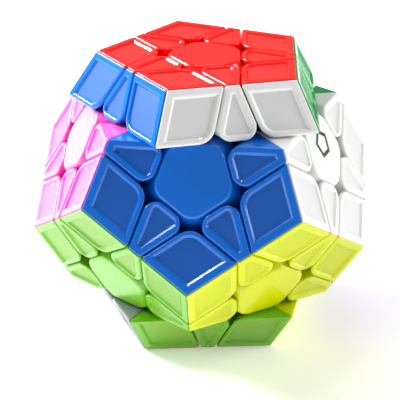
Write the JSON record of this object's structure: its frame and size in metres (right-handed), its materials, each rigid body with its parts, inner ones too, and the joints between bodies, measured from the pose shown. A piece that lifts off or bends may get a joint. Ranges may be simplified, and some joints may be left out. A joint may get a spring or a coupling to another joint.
{
  "type": "dodecahedron twisty puzzle",
  "caption": "Twelve-sided twisty puzzle with coloured recessed tiles; every face is a turning layer held on a ball core by sprung screws. Top and bottom layers stand part-turned.",
  "frame": {"origin": "middle of the core ball, which is the middle of the puzzle", "axes": "+Z out of the red face, -Y towards the blue face, +X to the right of the blue face seen from outside"},
  "size_m": [0.0964, 0.1012, 0.0824],
  "materials": {
    "red_plastic": "satin-gloss moulded ABS, red",
    "orange_plastic": "satin-gloss moulded ABS, orange",
    "blue_plastic": "satin-gloss moulded ABS, blue",
    "white_plastic": "satin-gloss moulded ABS, white",
    "green_plastic": "satin-gloss moulded ABS, green",
    "cream_plastic": "satin-gloss moulded ABS, cream",
    "pink_plastic": "satin-gloss moulded ABS, pink",
    "yellow_plastic": "satin-gloss moulded ABS, yellow",
    "purple_plastic": "satin-gloss moulded ABS, purple",
    "light_blue_plastic": "satin-gloss moulded ABS, light blue",
    "grey_plastic": "satin-gloss moulded ABS, grey",
    "lime_plastic": "satin-gloss moulded ABS, lime",
    "dark_plastic": "matte moulded nylon, near black",
    "steel": "zinc-plated steel"
  },
  "bodies": {
    "band": {"core_upper_half": "dark_plastic", "core_lower_half": "dark_plastic", "tension_screws": "steel", "screw_washers": "steel", "tension_springs": "steel", "band_edge_feet": "dark_plastic", "band_corner_feet": "dark_plastic", "blue_band_shells": "blue_plastic", "white_band_shells": "white_plastic", "green_band_shells": "green_plastic", "cream_band_shells": "cream_plastic", "pink_band_shells": "pink_plastic", "yellow_band_shells": "yellow_plastic", "purple_band_shells": "purple_plastic", "light_blue_band_shells": "light_blue_plastic", "grey_band_shells": "grey_plastic", "lime_band_shells": "lime_plastic"},
    "red_layer": {"red_edge_shells": "red_plastic", "red_corner_shells": "red_plastic", "blue_red_row_shells": "blue_plastic", "white_red_row_shells": "white_plastic", "green_red_row_shells": "green_plastic", "cream_red_row_shells": "cream_plastic", "pink_red_row_shells": "pink_plastic", "red_edge_feet": "dark_plastic", "red_corner_feet": "dark_plastic"},
    "orange_layer": {"orange_edge_shells": "orange_plastic", "orange_corner_shells": "orange_plastic", "yellow_orange_row_shells": "yellow_plastic", "purple_orange_row_shells": "purple_plastic", "light_blue_orange_row_shells": "light_blue_plastic", "grey_orange_row_shells": "grey_plastic", "lime_orange_row_shells": "lime_plastic", "orange_edge_feet": "dark_plastic", "orange_corner_feet": "dark_plastic"},
    "red_centre": {"red_centre_cap": "red_plastic", "red_centre_hub": "red_plastic"},
    "orange_centre": {"orange_centre_cap": "orange_plastic", "orange_centre_hub": "orange_plastic"},
    "blue_centre": {"blue_centre_cap": "blue_plastic", "blue_centre_hub": "blue_plastic"},
    "white_centre": {"white_centre_cap": "white_plastic", "white_centre_hub": "white_plastic"},
    "green_centre": {"green_centre_cap": "green_plastic", "green_centre_hub": "green_plastic"},
    "cream_centre": {"cream_centre_cap": "cream_plastic", "cream_centre_hub": "cream_plastic"},
    "pink_centre": {"pink_centre_cap": "pink_plastic", "pink_centre_hub": "pink_plastic"},
    "yellow_centre": {"yellow_centre_cap": "yellow_plastic", "yellow_centre_hub": "yellow_plastic"},
    "purple_centre": {"purple_centre_cap": "purple_plastic", "purple_centre_hub": "purple_plastic"},
    "light_blue_centre": {"light_blue_centre_cap": "light_blue_plastic", "light_blue_centre_hub": "light_blue_plastic"},
    "grey_centre": {"grey_centre_cap": "grey_plastic", "grey_centre_hub": "grey_plastic"},
    "lime_centre": {"lime_centre_cap": "lime_plastic", "lime_centre_hub": "lime_plastic"}
  },
  "joints": [
    {"name": "red_layer_turn", "type": "hinge", "parent": "band", "child": "red_layer", "pos_m": [0, 0, 0], "axis": [0, 0, 1], "continuous": true},
    {"name": "orange_layer_turn", "type": "hinge", "parent": "band", "child": "orange_layer", "pos_m": [0, 0, 0], "axis": [0, 0, -1], "continuous": true},
    {"name": "red_centre_lift", "type": "slide", "parent": "red_layer", "child": "red_centre", "axis": [0, 0, 1], "range_m": [0, 0.0005], "stiffness_N_per_m": 200, "springref_m": -0.003, "deforming": ["tension_springs"]},
    {"name": "orange_centre_lift", "type": "slide", "parent": "orange_layer", "child": "orange_centre", "axis": [0, 0, -1], "range_m": [0, 0.0005], "stiffness_N_per_m": 200, "springref_m": -0.003, "deforming": ["tension_springs"]},
    {"name": "blue_centre_lift", "type": "slide", "parent": "band", "child": "blue_centre", "axis": [0, -0.8944, 0.4472], "range_m": [0, 0.0005], "stiffness_N_per_m": 200, "springref_m": -0.003, "deforming": ["tension_springs"]},
    {"name": "white_centre_lift", "type": "slide", "parent": "band", "child": "white_centre", "axis": [0.8507, -0.2764, 0.4472], "range_m": [0, 0.0005], "stiffness_N_per_m": 200, "springref_m": -0.003, "deforming": ["tension_springs"]},
    {"name": "green_centre_lift", "type": "slide", "parent": "band", "child": "green_centre", "axis": [0.5257, 0.7236, 0.4472], "range_m": [0, 0.0005], "stiffness_N_per_m": 200, "springref_m": -0.003, "deforming": ["tension_springs"]},
    {"name": "cream_centre_lift", "type": "slide", "parent": "band", "child": "cream_centre", "axis": [-0.5257, 0.7236, 0.4472], "range_m": [0, 0.0005], "stiffness_N_per_m": 200, "springref_m": -0.003, "deforming": ["tension_springs"]},
    {"name": "pink_centre_lift", "type": "slide", "parent": "band", "child": "pink_centre", "axis": [-0.8507, -0.2764, 0.4472], "range_m": [0, 0.0005], "stiffness_N_per_m": 200, "springref_m": -0.003, "deforming": ["tension_springs"]},
    {"name": "yellow_centre_lift", "type": "slide", "parent": "band", "child": "yellow_centre", "axis": [0.5257, -0.7236, -0.4472], "range_m": [0, 0.0005], "stiffness_N_per_m": 200, "springref_m": -0.003, "deforming": ["tension_springs"]},
    {"name": "purple_centre_lift", "type": "slide", "parent": "band", "child": "purple_centre", "axis": [0.8507, 0.2764, -0.4472], "range_m": [0, 0.0005], "stiffness_N_per_m": 200, "springref_m": -0.003, "deforming": ["tension_springs"]},
    {"name": "light_blue_centre_lift", "type": "slide", "parent": "band", "child": "light_blue_centre", "axis": [0, 0.8944, -0.4472], "range_m": [0, 0.0005], "stiffness_N_per_m": 200, "springref_m": -0.003, "deforming": ["tension_springs"]},
    {"name": "grey_centre_lift", "type": "slide", "parent": "band", "child": "grey_centre", "axis": [-0.8507, 0.2764, -0.4472], "range_m": [0, 0.0005], "stiffness_N_per_m": 200, "springref_m": -0.003, "deforming": ["tension_springs"]},
    {"name": "lime_centre_lift", "type": "slide", "parent": "band", "child": "lime_centre", "axis": [-0.5257, -0.7236, -0.4472], "range_m": [0, 0.0005], "stiffness_N_per_m": 200, "springref_m": -0.003, "deforming": ["tension_springs"]}
  ]
}
